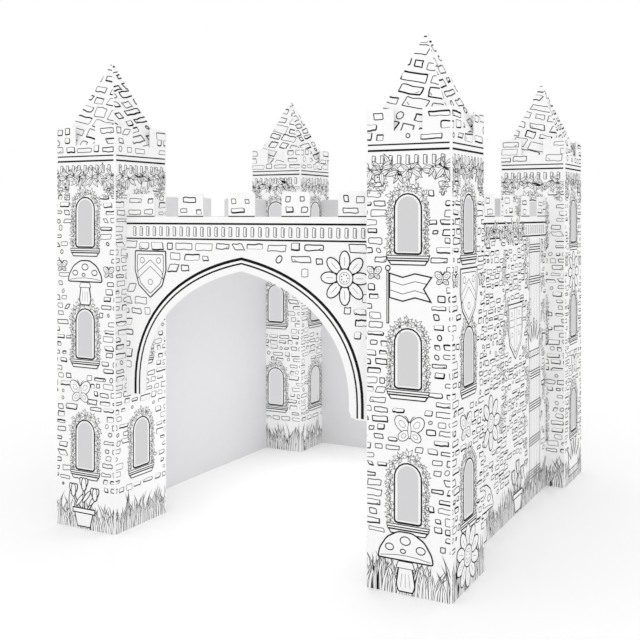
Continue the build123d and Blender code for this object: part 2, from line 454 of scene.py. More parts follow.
CLEAR_HALF, CLEAR_BELOW, CLEAR_ABOVE = 47, 27, 158


def window_border(offset, steps):
    """Points round a window outline at an offset, from foot over the arch to foot, with their headings."""
    length = 2 * WINDOW_STRAIGHT + math.pi * WINDOW_RADIUS
    reach = WINDOW_RADIUS + offset
    for step in range(steps + 1):
        run = length * step / steps
        if run < WINDOW_STRAIGHT:
            yield -reach, run, math.pi / 2
        elif run > length - WINDOW_STRAIGHT:
            yield reach, length - run, -math.pi / 2
        else:
            angle = math.pi - (run - WINDOW_STRAIGHT) / WINDOW_RADIUS
            yield reach * math.cos(angle), WINDOW_STRAIGHT + reach * math.sin(angle), angle - math.pi / 2


def draw_window(drawing, sill):
    """The printed frame of a window, the ledge under it and the ivy that grows round it."""
    chance = drawing.chance
    foot = sill + FRAME_INSET
    corner = [(WINDOW_RADIUS - inset, foot + rise) for inset, rise in reversed(FRAME_CORNER)]
    arch = [(x, sill + y) for x, y, _ in window_border(-FRAME_INSET, 26)]
    arch[0] = (arch[0][0], corner[0][1])
    arch[-1] = corner[0]
    drawing.stroke(arch, FRAME_PEN, FRAME_LEVEL)
    drawing.stroke(both_sides(corner), FRAME_FOOT_PEN, FRAME_LEVEL + LEVEL_STEP)
    for index, (top_half, top, low_half, low, pen) in enumerate(LEDGE_SLABS):
        slab = both_sides([(low_half, sill + low), (top_half, sill + top)])
        drawing.field(slab, LEDGE_LEVEL + index * LEVEL_STEP, pen)
    for x, y, heading in window_border(SPRIG_OFFSET, SPRIG_COUNT):
        arch_share = max(0, y - WINDOW_STRAIGHT) / WINDOW_RADIUS
        reach = chance.uniform(-1, 3) + 3 * arch_share
        outward = heading + math.pi / 2
        level = LEAF_LEVEL + LEVEL_STEP * chance.randint(0, 30)
        size = chance.uniform(11.5, 15) * (1 + 0.3 * arch_share)
        turn = heading + chance.uniform(-0.5, 0.5)
        draw_sprig(drawing, x + reach * math.cos(outward), sill + max(y, 4) + reach * math.sin(outward),
                   size, turn, SPRIG_SPREAD, SPRIG_LEAVES, level)
    for x, y, heading in window_border(CROWN_LEAF_OFFSET, CROWN_LEAF_COUNT):
        length = chance.uniform(13, 18)
        turn = heading + chance.choice((-1, 1)) * chance.uniform(0.5, 1.1)
        if y > WINDOW_HEIGHT - 1.3 * WINDOW_RADIUS:
            level = LEAF_LEVEL + LEVEL_STEP * chance.randint(30, 42)
            draw_leaf(drawing, x, sill + y, length, turn, level, 1.0)


def clear_of_windows(x, y, width, height):
    """True where a stone neither reaches a window nor its ledge. Its end may run under the ivy."""
    reach = height / 2
    beside = [sill for sill in WINDOW_SILLS if sill - CLEAR_BELOW - reach < y < sill + CLEAR_ABOVE + reach]
    return not beside or abs(x) - width / 2 >= CLEAR_HALF


# Ledge below the battlements: two ruled lines, a row of dentils and hanging ivy. Grass at the foot.
LINE_LEVEL = SILL_LEVEL + 2 * LEVEL_STEP
DENTIL_CORNERS = (-5.5, 0, 1), (5, 0, 0), (5.5, 1, -2), (-5, 1, 0)
DENTIL_PEN, DENTIL_SHADE_PEN = 1.6, 1.5
LEAF_TURNS = (2.6, -2.6, 3.14, 2.0, -2.0, 1.4, -1.4, 0.7, -0.7)
LEAF_COUNTS = (5, 7)
LEAF_LENGTHS = (24, 38)
LEAF_BREADTH = 0.85
STRAND_STEPS = 3
GARLAND_STEPS = (19, 30)
TWIG_SHARE = 0.55
BLADE = ((-1, 0, 0, 2), (-0.9, 0.12, 0.35, 0), (-0.6, 0.45, 0.7, 0), (0, 1, 1, 0), (0.6, 0.45, 0.7, 0),
         (0.9, 0.12, 0.35, 0), (1, 0, 0, 2))
BLADE_WIDTHS = (5.5, 9)
BLADE_PEN = 1.2
CLUMP_STEPS = (7.5, 12.5)


def draw_ruled_lines(drawing, half_length, lines):
    """Lines right across a face, each with its height and the width of its pen."""
    for height, width in lines:
        drawing.stroke(((-half_length, height), (half_length, height)), width, LINE_LEVEL)


def draw_dentils(drawing, half_length, band, pitch):
    """A row of small upright blocks, each with its shaded side."""
    count = int(2 * half_length / pitch)
    first = -pitch * (count - 1) / 2
    for index in range(count):
        x = first + index * pitch
        corners = [(x + across, band[end] + rise) for across, end, rise in DENTIL_CORNERS]
        drawing.field(corners, STONE_LEVEL, DENTIL_PEN, BLACK, DENTIL_PEN)
        shade = ((x + 2.0, band[0] + 4), (x + 2.4, band[1] - 5))
        drawing.stroke(shade, DENTIL_SHADE_PEN, STONE_LEVEL + LEVEL_STEP)


def draw_garland(drawing, half_length, height, drop, keep_from=0.0, reach=1000):
    """Ivy that hangs along a ledge: fans of large leaves from dark twigs, and strands of small ones.

    The strands hang only further out than keep_from, and the garland ends at reach.
    """
    chance = drawing.chance
    x = -half_length + 6
    while x < min(half_length - 2, reach):
        y = height + chance.uniform(-9, 7)
        if abs(x) > keep_from:
            for step in range(1, STRAND_STEPS + 1):
                level = LEAF_LEVEL + LEVEL_STEP * chance.randint(0, 8)
                below = y - drop * step / STRAND_STEPS
                draw_sprig(drawing, x + chance.uniform(-7, 7), below, 13, math.pi, 3.4, 5, level)
        for turn in chance.sample(LEAF_TURNS, chance.randint(*LEAF_COUNTS)):
            level = LEAF_LEVEL + LEVEL_STEP * chance.randint(14, 44)
            length = chance.uniform(*LEAF_LENGTHS)
            stalk = x + chance.uniform(-3, 3), y + chance.uniform(-3, 3)
            turn += chance.uniform(-0.35, 0.35)
            draw_leaf(drawing, *stalk, length, turn, level, 1.4, chance.choice((BLACK, GREY)), LEAF_BREADTH)
        if chance.random() < TWIG_SHARE:
            lean = chance.uniform(-2, 2)
            drawing.stroke(((x - 5, y + lean), (x + 3, y - lean)), 2.4, LEAF_LEVEL + 0.2)
        x += chance.uniform(*GARLAND_STEPS)


def draw_grass(drawing, half_length, tallest):
    """Blades of grass in clumps along the foot."""
    chance = drawing.chance
    x = -half_length - 4
    while x < half_length + 4:
        clump = chance.uniform(0.55, 1.0)
        for _ in range(chance.randint(2, 4)):
            lean = chance.uniform(-30, 30)
            height = tallest * clump * chance.uniform(0.6, 1.0)
            half = chance.uniform(*BLADE_WIDTHS) / 2
            base = x - 0.25 * lean + chance.uniform(-5, 5)
            level = BLADE_LEVEL + LEVEL_STEP * chance.randint(0, 40)
            corners = [(base + out * half + bend * lean, up * height - foot) for out, bend, up, foot in BLADE]
            drawing.field(corners, level, BLADE_PEN, chance.choice((GREY, GREY, BLACK)))
        x += chance.uniform(*CLUMP_STEPS)


class Emblem:
    """A motif whose marks are placed in shares of its size. A higher rise hides what lies below it."""

    def __init__(self, drawing, x, y, size):
        self.drawing = drawing
        self.x = x
        self.y = y
        self.size = size

    def spots(self, points):
        return [(self.x + self.size * across, self.y + self.size * up) for across, up in points]

    def field(self, points, rise, line, rounding=0.0):
        self.drawing.field(self.spots(points), EMBLEM_LEVEL + rise, line, BLACK, rounding)

    def stroke(self, points, rise, width, ink=BLACK):
        self.drawing.stroke(self.spots(points), width, EMBLEM_LEVEL + rise, ink)

    def disc(self, across, up, radius, rise, line, **shape):
        middle = self.spots([(across, up)])[0]
        self.drawing.disc(middle, radius * self.size, EMBLEM_LEVEL + rise, line, **shape)


def block(left, low, right, high):
    """Corners of an upright rectangle."""
    return [(left, low), (right, low), (right, high), (left, high)]


# Motifs. Their shapes are in shares of the motif's size, with the middle at 0, 0.
SHIELD = both_sides([(0.44, 0.5), (0.45, 0.06), (0.34, -0.28), (0, -0.56)])
SHIELD_INNER = 0.84
CHEVRON = [(-0.36, -0.14), (0, 0.14), (0.36, -0.14), (0.33, 0.04), (0, 0.3), (-0.36, 0.04)]
CROSS_BEAM = block(-0.36, 0.06, 0.36, 0.2)
CROSS_POST = block(-0.075, -0.41, 0.075, 0.41)
STAR_REACH = (0.27, 0.12)
TOADSTOOL_STEM = [(-0.13, -0.5), (0.14, -0.5), (0.18, -0.38), (0.11, 0.02), (-0.11, 0.02), (-0.17, -0.38)]
TOADSTOOL_FRILL = both_sides([(0.17, -0.12), (0.13, 0)])
TOADSTOOL_CAP = both_sides([(0.5, 0), (0.47, 0.16), (0.34, 0.36), (0.13, 0.48)])
TOADSTOOL_RIM = both_sides([(0.44, 0.05), (0.2, 0.085), (0, 0.095)])
TOADSTOOL_SPOTS = [(-0.28, 0.2, 0.075), (0, 0.33, 0.09), (0.27, 0.21, 0.08), (-0.04, 0.16, 0.05)]
CROWN = both_sides([(0.38, -0.3), (0.48, 0.22), (0.24, 0), (0.2, 0.34), (0.08, 0.06), (0, 0.42)])
CROWN_BAND = both_sides([(0.41, -0.38), (0.4, -0.22)])
CROWN_BALLS = both_sides([(0.48, 0.25), (0.21, 0.37), (0, 0.45)])
TULIPS = ((-0.27, 0.2), (0.28, 0.17), (0.0, 0.34))
TULIP_PETALS = ((0.5, 0.0, 0.01), (-0.5, 0.0, 0.012), (0.0, -0.01, 0.015))
POT = both_sides([(0.17, -0.5), (0.25, -0.2)])
PENNANT = ((-0.37, 0.42), (-0.1, 0.35), (0.14, 0.42), (0.48, 0.36), (0.32, 0.14), (0.47, -0.1), (0.14, -0.03),
           (-0.1, -0.1), (-0.37, -0.04))
PENNANT_STRIPES = (((-0.36, 0.27), (-0.1, 0.2), (0.14, 0.27), (0.37, 0.23)),
                   ((-0.36, 0.11), (-0.1, 0.04), (0.14, 0.11), (0.37, 0.05)))
WINGS = ((0.24, 0.17, 0.3, -0.8), (0.19, -0.18, 0.22, -2.2))


def draw_shield(emblem):
    """A heraldic shield with a border and a cross, a chevron or a star."""
    emblem.field(SHIELD, 0, 3.2, 3.0)
    emblem.field([(SHIELD_INNER * across, SHIELD_INNER * up) for across, up in SHIELD], LEVEL_STEP, 2.0, 2.0)
    charge = emblem.drawing.chance.choice(("cross", "chevron", "star"))
    if charge == "cross":
        emblem.field(CROSS_BEAM, 0.01, 1.5)
        emblem.field(CROSS_POST, 0.015, 1.5)
        for across, up in ((-0.22, 0.3), (0.22, 0.3), (-0.2, -0.08), (0.2, -0.08)):
            emblem.disc(across, up, 0.045, 0.02, 1.3)
    elif charge == "chevron":
        emblem.field(CHEVRON, 0.01, 1.6)
        for across, up in ((-0.23, 0.28), (0.23, 0.28), (0, -0.2)):
            emblem.disc(across, up, 0.07, 0.02, 1.5, segments=10)
    else:
        angles = [math.pi * step / 5 for step in range(10)]
        star = [(STAR_REACH[step % 2] * math.sin(angle), STAR_REACH[step % 2] * math.cos(angle))
                for step, angle in enumerate(angles)]
        emblem.field(star, 0.01, 1.7)
        emblem.disc(0, 0, 0.05, 0.02, 1.2)


def draw_flower(emblem):
    """A large open flower with round petals."""
    petals = emblem.drawing.chance.choice((8, 9, 10))
    for index in range(petals):
        turn = 2 * math.pi * index / petals
        across, up = -math.sin(turn), math.cos(turn)
        emblem.disc(0.33 * across, 0.33 * up, 0.2, index * LEVEL_STEP, 2.8, segments=12, stretch=(0.62, 1),
                    turn=turn)
        emblem.stroke([(0.24 * across, 0.24 * up), (0.4 * across, 0.4 * up)], 0.05, THIN_PEN, GREY)
    emblem.disc(0, 0, 0.19, 0.06, 2.8, segments=18)
    emblem.disc(0, 0, 0.12, 0.07, 1.2, ink=GREY)
    for index in range(7):
        turn = 2 * math.pi * index / 7
        emblem.disc(0.07 * math.cos(turn), 0.07 * math.sin(turn), 1.8 / emblem.size, 0.08, 0, segments=6)


def draw_toadstool(emblem):
    """A spotted toadstool on a stout foot."""
    emblem.field(TOADSTOOL_STEM, 0, 3.0, 4.0)
    emblem.field(TOADSTOOL_FRILL, 0.01, 1.6, 3.0)
    emblem.field(TOADSTOOL_CAP, 0.02, 3.2, 7.0)
    emblem.stroke(TOADSTOOL_RIM, 0.03, 1.4)
    for across, up, radius in TOADSTOOL_SPOTS:
        emblem.disc(across, up, radius, 0.03, 2.4, stretch=(1.1, 0.85))
    for across in (-0.06, 0.0, 0.06):
        emblem.stroke([(across, -0.2), (across * 1.4, -0.42)], 0.01, 1.0, GREY)


def draw_crown(emblem):
    """A crown of five points, each with a ball."""
    emblem.field(CROWN, 0, 3.0)
    emblem.field(CROWN_BAND, 0.01, 2.8, 3.0)
    for across, up in CROWN_BALLS:
        emblem.disc(across, up, 0.055, 0.02, 1.8)
    for across in (-0.27, 0.0, 0.27):
        emblem.disc(across, -0.3, 0.05, 0.02, 1.5, segments=4)
    for across in (-0.13, 0.13):
        emblem.disc(across, -0.3, 0.03, 0.02, 1.2)


def draw_tulips(emblem):
    """Three tulips in a clay pot."""
    for index, (lean, top) in enumerate(TULIPS):
        rise = 0.02 * index
        stem = [(0.25 * lean, -0.2), (0.75 * lean, 0.0), (lean, top - 0.08)]
        emblem.stroke(stem, rise, 8.0)
        emblem.stroke(stem, rise + LEVEL_STEP, 2.6, CARD)
        emblem.disc(0.62 * lean + 0.07, 0.02 + 0.04 * index, 0.17, rise + 0.005, 2.2, segments=10,
                    stretch=(0.28, 1), turn=-0.7)
        for turn, drop, lift in TULIP_PETALS:
            emblem.disc(lean - 0.05 * math.sin(turn), top + drop, 0.14, rise + lift, 2.6, segments=12,
                        stretch=(0.5, 1), turn=turn)
    emblem.field(POT, 0.08, 3.0, 2.0)
    emblem.field(block(-0.29, -0.24, 0.29, -0.13), 0.09, 3.0, 2.0)


def draw_pennant(emblem):
    """A swallow-tailed flag on a pole."""
    emblem.field(PENNANT, 0, 3.0)
    for stripe in PENNANT_STRIPES:
        emblem.stroke(stripe, 0.01, 1.6)
    emblem.field(block(-0.42, -0.5, -0.37, 0.46), 0.02, 2.2)
    emblem.disc(-0.395, 0.5, 0.055, 0.03, 2.4)


def draw_butterfly(emblem):
    """A small butterfly with open wings."""
    for side in (-1, 1):
        for index, (across, up, reach, turn) in enumerate(WINGS):
            rise = 0.01 * index
            wing = {"stretch": (0.7, 1), "turn": side * turn}
            emblem.disc(side * across, up, reach, rise, 1.6, segments=12, **wing)
            emblem.disc(side * across, up, 0.45 * reach, rise + 0.005, THIN_PEN, ink=GREY, segments=8, **wing)
        emblem.stroke([(0, 0.2), (side * 0.08, 0.36), (side * 0.16, 0.42)], 0.03, 1.2)
    emblem.disc(0, 0, 0.27, 0.04, 1.4, segments=10, stretch=(0.24, 1))


# Layout of a sleeve's four faces, which are drawn next to each other as on the flat sheet. Emblems are on the
# faces that look out of the castle, and are given by their x, y and size.
CORNERS = ("front_left", "front_right", "back_left", "back_right")
FACE_TURNS = (0, 90, 180, 270)
FOLD_MARGIN = 3.2
FOOT_MARGIN = 0.5
LINE_END = 5
SLEEVE_LINES = ((1000, 3.3), (987, 4.5))
SLEEVE_CREST = 1003
SLEEVE_ROWS = [113 + 21 * index for index in range(39)]
CREST_ROWS = (1016, 1041, 1066)
CREST_SCALE = 1.3
DENTIL_BAND = (953, 977)
DENTIL_PITCH = 21
CRENEL_HALF = 35
CRENEL_FOOT = 1029
CRENEL_MARGIN = 3
GARLAND = (947, 46, 62)      # height, drop, and the half width that has no strands
GRASS_HEIGHT = 112
UPPER_EMBLEM = (0, 662, 124)
LOWER_EMBLEM, BUTTERFLY = (74, 138), (366, 74)
SWAY, BUTTERFLY_SWAY = 12, 25
EMBLEM_REACH = 0.6
LARGE_EMBLEMS = (draw_shield, draw_toadstool, draw_flower, draw_tulips, draw_crown, draw_pennant)


def clear_of_emblems(x, y, spots):
    """True where a stone isn't hidden for the most part by one of the emblems."""
    return all(math.hypot(x - across, y - up) > EMBLEM_REACH * size for across, up, size in spots)


def in_crenel(x, y, width, height):
    """True where a stone would reach into the gap of the battlements."""
    across = abs(x) - width / 2 < CRENEL_HALF + CRENEL_MARGIN
    return y > CRENEL_FOOT - 14 and across and y + height / 2 > CRENEL_FOOT - CRENEL_MARGIN


def foot_of(name):
    """Middle of a folded piece's foot, half its width and its height, in metres."""
    low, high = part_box(name)
    return Vector(((low.x + high.x) / 2, (low.y + high.y) / 2, low.z)), (high.x - low.x) / 2, high.z - low.z


def face_matrix(foot, half, turn, pitch=math.pi / 2):
    """Place of a face whose drawing starts at the middle of its foot. Turn 0 looks to -Y."""
    return (Matrix.Translation(foot) @ Matrix.Rotation(math.radians(turn), 4, "Z")
            @ Matrix.Translation((0, -half, 0)) @ Matrix.Rotation(pitch, 4, "X"))


def new_object(name, sheet, finishes):
    """The object of a finished mesh, at the origin."""
    mesh = bpy.data.meshes.new(name)
    sheet.to_mesh(mesh)
    sheet.free()
    for finish in finishes:
        mesh.materials.append(finish)
    made = bpy.data.objects.new(name, mesh)
    bpy.context.collection.objects.link(made)
    return made


def finish_piece(name, sheet):
    """Makes the printed piece from its mesh and lets it ride with the castle."""
    piece = new_object(name, sheet, print_finishes)
    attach(piece, "root")


def draw_sleeve_stones(drawing, stones, middle, half_width, spots, pens):
    """The stones of the flat sheet that show on the face with this middle."""
    for along, y, width, height, stone_seed in stones:
        x = along - middle
        on_face = abs(x) - width / 2 <= half_width and not in_crenel(x, y, width, height)
        clear = y >= SLEEVE_CREST or clear_of_windows(x, y, width, height)
        if not (on_face and clear and clear_of_emblems(x, y, spots)):
            continue
        if y > SLEEVE_CREST:
            y = max(y, SLEEVE_CREST + 3 + 0.7 * height)
        drawing.chance.seed(stone_seed)
        draw_stone(drawing, x, y, width, height, pens)


def print_tower(name, seed):
    foot, half, _ = foot_of(name)
    width = 2 * half / MM
    chance = random.Random(seed)
    stones = scatter_stones(chance, 4 * width, SLEEVE_ROWS)
    stones += scatter_stones(chance, 4 * width, CREST_ROWS, CREST_SCALE)
    piece = bmesh.new()
    for index, turn in enumerate(FACE_TURNS):
        middle = (index + 0.5) * width
        drawing = Drawing(seed + index, middle)
        sway = random.Random(seed + 10 * index)
        lower = (sway.uniform(-SWAY, SWAY), *LOWER_EMBLEM)
        small = [(sway.uniform(-BUTTERFLY_SWAY, BUTTERFLY_SWAY), *BUTTERFLY)]
        small += [(83 * side, 700 + sway.uniform(-SWAY, SWAY), 38) for side in (-1, 1)]
        looks_out = foot.x * math.sin(math.radians(turn)) > foot.y * math.cos(math.radians(turn))
        spots = [UPPER_EMBLEM, lower] + small if looks_out else []
        pens = (SIDE_PENS if turn in (90, 270) else FRONT_PENS) if looks_out else INNER_PENS
        draw_sleeve_stones(drawing, stones, middle, width / 2, spots, pens)
        drawing.chance.seed(seed + 10 * index)
        for sill in WINDOW_SILLS:
            draw_window(drawing, sill)
        line_half = width / 2 - LINE_END
        draw_ruled_lines(drawing, line_half, SLEEVE_LINES)
        draw_dentils(drawing, line_half, DENTIL_BAND, DENTIL_PITCH)
        draw_garland(drawing, line_half, *GARLAND)
        draw_grass(drawing, width / 2, GRASS_HEIGHT)
        if looks_out:
            LARGE_EMBLEMS[(seed + index) % 6](Emblem(drawing, *UPPER_EMBLEM))
            LARGE_EMBLEMS[(seed + index + 2) % 6](Emblem(drawing, *lower))
            for spot in small:
                draw_butterfly(Emblem(drawing, *spot))
        drawing.trim_sides(width / 2 - FOLD_MARGIN)
        drawing.trim((0, FOOT_MARGIN), (0, -1))
        drawing.print_on(piece, face_matrix(foot, half, turn))
    finish_piece("print_" + name, piece)


for count, corner in enumerate(CORNERS):
    print_tower("tower_" + corner, 100 * count + 7)

# Printing on the roofs
# Stones on the four slopes of each pyramid. The flat sheet is a fan of four triangles, so the courses tilt
# and the folds along the hips cut through them. On the side slopes they are drawn narrow, then stretched.
ROOF_TIP = 4
HIP_MARGIN = 1.8
HEM_MARGIN = 2
ROOF_STONE_SCALE = 1.75
ROOF_WAVE = 1.9
ROOF_BOLD_SHARE = 0.6
ROOF_FIRST_ROW, ROOF_ROWS = -30, 13
ROOF_OVERLAP = 1.3
COURSE_TILTS = (-14, 18, -15, 19)
COURSE_PIVOT = (0, 60, 0)
ROOF_PENS = (2.5, 3.0, 3.6)
SIDE_ROOF_PENS = (3.0, 3.5, 4.0)
# Per slope: its stretch, the width and height of its stones, and the pitch of its rows
ROOF_STRETCH = {0: (1.0, 1.0, 1.0, 33), 90: (1.3, 0.85, 0.78, 26)}


def print_roof(name, seed):
    foot, half, rise = foot_of(name)
    run = half - ROOF_TIP / 2 * MM
    slope_length = math.hypot(rise, run) / MM
    width = 2 * half / MM
    course = ROOF_OVERLAP * width
    piece = bmesh.new()
    for index, turn in enumerate(FACE_TURNS):
        drawing = Drawing(seed + index, 0, ROOF_WAVE)
        stretch, narrow, low_share, row_pitch = ROOF_STRETCH[turn % 180]
        rows = [ROOF_FIRST_ROW + row_pitch * step for step in range(ROOF_ROWS)]
        pens = ROOF_PENS if stretch == 1 else SIDE_ROOF_PENS
        for along, y, length, height, _ in scatter_stones(drawing.chance, course, rows, ROOF_STONE_SCALE):
            draw_stone(drawing, narrow * (along - course / 2), y, narrow * length, low_share * height,
                       pens, ROOF_BOLD_SHARE)
        bmesh.ops.rotate(drawing.sheet, verts=drawing.sheet.verts[:], cent=COURSE_PIVOT,
                         matrix=Matrix.Rotation(math.radians(COURSE_TILTS[index]), 3, "Z"))
        for side in (-1, 1):
            place = (side * (width / 2 - HIP_MARGIN) / stretch, 0)
            drawing.trim(place, (side * slope_length * stretch, run / MM))
        drawing.trim((0, HEM_MARGIN), (0, -1))
        slope = face_matrix(foot, half, turn, math.atan2(rise, run))
        drawing.print_on(piece, slope @ Matrix.Diagonal((stretch, 1, 1, 1)))
    finish_piece("print_" + name, piece)


for count, corner in enumerate(CORNERS):
    print_roof("roof_" + corner, 100 * count + 31)

# Printing on the hanging front wall
# Stones in the merlons and spandrels, a ledge line with dentils, and two lines that follow the pointed arch.
WALL_LINES = ((820, 4.7), (780.5, 4.1))
WALL_END_GAP = 0.3
WALL_EDGE_MARGIN = 0.5
MERLON_LINE, MERLON_LINE_PEN = 839, 2.6
MERLON_ROWS = (853, 879)
MERLON_STONE_WIDTHS = (14, 22, 30, 42)
MERLON_BOLD_SHARE = 0.3
WALL_DENTIL_BAND = (787, 813)
WALL_DENTIL_PITCH = 22
WALL_DENTIL_END = 8
WALL_CRENELS = 4
WALL_CRENEL_WIDTH = 78
WALL_END_MERLON = 95.2
FRONT_ROWS = [763 - 29 * index for index in range(14)]
FRONT_STONE_SCALE = 1.35
FRONT_WALL_PENS = (1.9, 2.4, 2.4, 2.9)
FRONT_STONE_TOP = 775
FRONT_EMBLEMS = ((-288, 690, 118), (292, 694, 124))
ARCH_HALF_SPAN = 303
ARCH_FOOT = 364
ARCH_SPRING = 400
ARCH_APEX = 702
ARCH_HAUNCH_PULL = 0.6
ARCH_CROWN_PULL = 0.5
ARCH_CROWN_SLOPE = math.radians(11.4)
ARCH_STEPS = 22
ARCH_CLEAR = 42
# Per line: its offsets from the arch at the foot and at the crown, its pen, level and ink
ARCH_LINES = (((23, 23), 36.0, SILL_LEVEL, CARD), ((35.5, 30.6), 7.4, SILL_LEVEL + LEVEL_STEP, BLACK),
              ((22, 19), 4.4, SILL_LEVEL + LEVEL_STEP, BLACK))


def arch_points(offsets):
    """The pointed arch from its right foot to its crown, moved outwards at the foot and at the crown."""
    haunch = ARCH_SPRING + ARCH_HAUNCH_PULL * (ARCH_APEX - ARCH_SPRING)
    shoulder = ARCH_CROWN_PULL * ARCH_HALF_SPAN
    fall = shoulder * math.tan(ARCH_CROWN_SLOPE)
    guides = [Vector(point) for point in ((ARCH_HALF_SPAN, ARCH_SPRING), (ARCH_HALF_SPAN, haunch),
                                          (shoulder, ARCH_APEX - fall), (0, ARCH_APEX))]
    foot_offset, crown_offset = offsets
    origin = Vector((0, 0))
    points = [Vector((ARCH_HALF_SPAN + foot_offset, ARCH_FOOT + 4))]
    for step in range(ARCH_STEPS):
        share = step / ARCH_STEPS
        rest = 1 - share
        weights = (rest**3, 3 * rest**2 * share, 3 * rest * share**2, share**3)
        point = sum((weight * guide for weight, guide in zip(weights, guides)), origin)
        pulls = (rest**2, 2 * rest * share, share**2)
        heading = sum((pull * (b - a) for pull, a, b in zip(pulls, guides, guides[1:])), origin).normalized()
        offset = foot_offset + share * (crown_offset - foot_offset)
        points.append(point + offset * Vector((heading.y, -heading.x)))
    points.append(Vector((0, ARCH_APEX + crown_offset / math.cos(ARCH_CROWN_SLOPE))))
    return points


arch_edge = arch_points((0, 0))


def clear_of_arch(x, y):
    """True where a point of the wall lies far enough outside the arch."""
    place = Vector((abs(x), y))
    above = [point for point in arch_edge if point.y > y]
    outside = not above or place.x > above[0].x
    return outside and min((place - point).length for point in arch_edge) > ARCH_CLEAR


wall_half = abs(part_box("tower_front_left")[1].x) / MM - WALL_END_GAP


def merlon_spans():
    """Start and end of each merlon of a wall."""
    pitch = (2 * (wall_half - WALL_END_MERLON) - WALL_CRENEL_WIDTH) / (WALL_CRENELS - 1)
    gaps = [pitch * (index - (WALL_CRENELS - 1) / 2) for index in range(WALL_CRENELS)]
    ends = [side * WALL_CRENEL_WIDTH / 2 + gap for gap in gaps for side in (-1, 1)]
    ends = [-wall_half] + ends + [wall_half]
    return list(zip(ends[::2], ends[1::2]))


def draw_merlon_stones(drawing):
    """A few small stones on each merlon."""
    chance = drawing.chance
    for start, end in merlon_spans():
        for y in MERLON_ROWS:
            x = start + chance.uniform(6, 20)
            while x < end - 20:
                width = min(chance.choice(MERLON_STONE_WIDTHS), end - 5 - x)
                draw_stone(drawing, x + width / 2, y + chance.uniform(-3, 3), width, chance.uniform(12, 17),
                           bold_share=MERLON_BOLD_SHARE)
                x += width + chance.uniform(10, 32)


def start_wall(seed, wave=1.0):
    """The drawing of a wall, trimmed at its ends, with its ledge and the lines and stones of its merlons."""
    drawing = Drawing(seed, 0, wave)
    drawing.trim_sides(wall_half - WALL_EDGE_MARGIN)
    draw_ruled_lines(drawing, wall_half, WALL_LINES)
    for start, end in merlon_spans():
        drawing.stroke(((start, MERLON_LINE), (end, MERLON_LINE)), MERLON_LINE_PEN, LINE_LEVEL)
    draw_dentils(drawing, wall_half - WALL_DENTIL_END, WALL_DENTIL_BAND, WALL_DENTIL_PITCH)
    draw_merlon_stones(drawing)
    return drawing


def finish_wall(name, drawing, distance, turn):
    """Prints a wall that stands this far out from the middle of the castle."""
    piece = bmesh.new()
    drawing.print_on(piece, face_matrix(Vector((0, 0, 0)), distance, turn))
    finish_piece("print_" + name, piece)


drawing = start_wall(811, FRONT_STONE_SCALE)
stones = scatter_stones(drawing.chance, 2 * wall_half, FRONT_ROWS, FRONT_STONE_SCALE)
for along, y, width, height, _ in stones:
    x = along - wall_half
    ends = (x - 0.55 * width, x, x + 0.55 * width)
    if clear_of_emblems(x, y, FRONT_EMBLEMS) and all(clear_of_arch(end, y - height / 2) for end in ends):
        y = min(y, FRONT_STONE_TOP - height / 2)
        draw_stone(drawing, x, y, width, height, FRONT_WALL_PENS)
for offsets, pen, level, ink in ARCH_LINES:
    drawing.stroke(both_sides(arch_points(offsets)), pen, level, ink)
draw_shield(Emblem(drawing, *FRONT_EMBLEMS[0]))
draw_flower(Emblem(drawing, *FRONT_EMBLEMS[1]))
finish_wall("wall_front", drawing, -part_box("wall_front")[0].y, 0)

# Printing on the side and back walls
# The same ledge and stones on the outer face of each full wall, with climbing ivy, a boarded hatch and grass.
HATCH_HALF = 52
HATCH_TOP = 772
POST_HALF = 4
HATCH_BARS = (67, 164, 267, 361, 641, 736)
BAR_PAIR, BAR_HALF, BAR_END = (0, 15), 5, 6
BOARD_PITCH = 17
WALL_ROWS = [766 - 22 * index for index in range(31)]
WALL_STONE_SHARE = 0.88
WALL_STONE_TOP = 776
WALL_GRASS_HEIGHT = 118
WALL_GARLAND = (800, 60)
CREEPERS = ((-78, 120, 770), (76, 180, 770), (-330, 260, 790))
CREEPER_STEPS = (11, 13, 15, 17, 19, 48)
WALL_EMBLEMS = ((draw_tulips, -170, 80, 150), (draw_flower, -400, 300, 140), (draw_toadstool, -455, 78, 150),
                (draw_shield, -190, 520, 150))
WALL_CROWN = (-10, 470, 130)


def draw_hatch(drawing, x):
    """A tall boarded strip: two posts and paired battens, with boards between them."""
    for side in (-1, 1):
        post = x + side * HATCH_HALF
        drawing.field(block(post - POST_HALF, 0, post + POST_HALF, HATCH_TOP), SILL_LEVEL, 1.5)
    for board in range(-2, 3):
        seam = x + BOARD_PITCH * board
        drawing.stroke(((seam, 2), (seam, HATCH_TOP - 2)), 1.0, STONE_LEVEL, GREY)
    reach = HATCH_HALF + BAR_END
    for bar in HATCH_BARS:
        for rise in BAR_PAIR:
            middle = bar + rise
            batten = block(x - reach, middle - BAR_HALF, x + reach, middle + BAR_HALF)
            drawing.field(batten, SILL_LEVEL + 0.02, 2.8)


def draw_creeper(drawing, x, low, high):
    """Ivy that climbs up the wall in bends, with bare stretches."""
    y = low
    while y < high:
        x += 9 * math.sin(y / 37)
        for side in (-1, 1):
            level = LEAF_LEVEL + LEVEL_STEP * drawing.chance.randint(0, 40)
            turn = side * drawing.chance.uniform(0.4, 1.9)
            draw_sprig(drawing, x + drawing.chance.uniform(-12, 12), y, 19, turn, 1.5, 3, level)
        y += drawing.chance.choice(CREEPER_STEPS)


